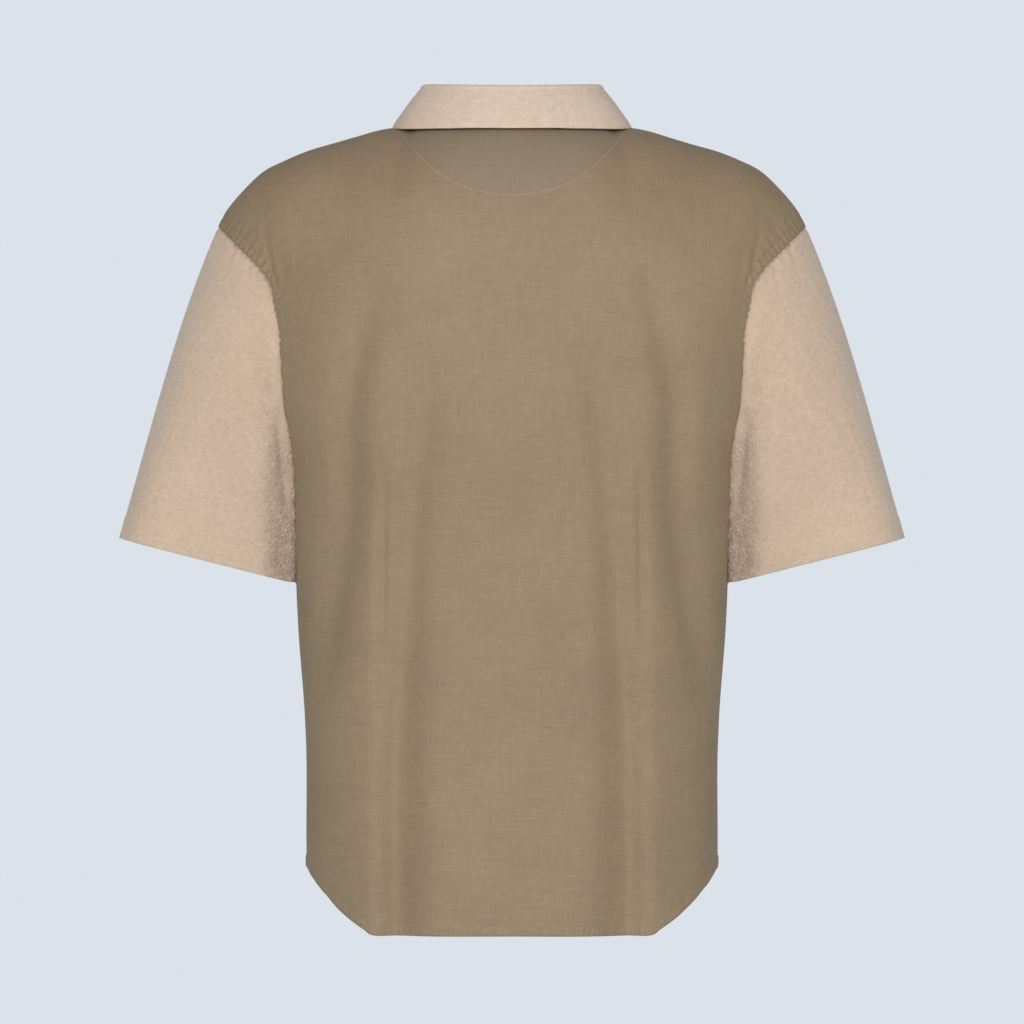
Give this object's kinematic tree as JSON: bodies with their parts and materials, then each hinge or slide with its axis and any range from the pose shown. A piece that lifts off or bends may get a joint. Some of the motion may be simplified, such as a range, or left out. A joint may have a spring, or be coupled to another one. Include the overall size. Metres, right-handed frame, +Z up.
{
  "type": "golf shirt",
  "caption": "Short-sleeved collared shirt, filled out as worn, with a dark body, pale sleeves and collar, a half-moon back neck facing and a rounded shirt-tail hem.",
  "frame": {"origin": "middle of the neck opening, level with the neck ends of the shoulder seams, where the wearer's neck and shoulders hold it", "axes": "+Z up, the back faces +Y, the front -Y, the wearer's left is +X"},
  "size_m": [0.7124, 0.2585, 0.7562],
  "materials": {
    "body_cloth": "smooth fine plain weave with a faint slub and a soft lustre, olive khaki",
    "trim_cloth": "pale beige plain weave, lightly slubbed, matt",
    "facing_cloth": "smooth fine plain weave, olive khaki",
    "button_plastic": "pale beige four-hole shirt button with a raised rim"
  },
  "bodies": {
    "root": {"back": "body_cloth", "front": "body_cloth", "sleeve_left": "trim_cloth", "sleeve_right": "trim_cloth", "collar_stand": "trim_cloth", "collar_leaf": "trim_cloth", "neck_facing": "facing_cloth", "placket_upper": "body_cloth", "placket_under": "body_cloth", "button_1": "button_plastic", "button_2": "button_plastic", "button_3": "button_plastic"}
  },
  "joints": []
}
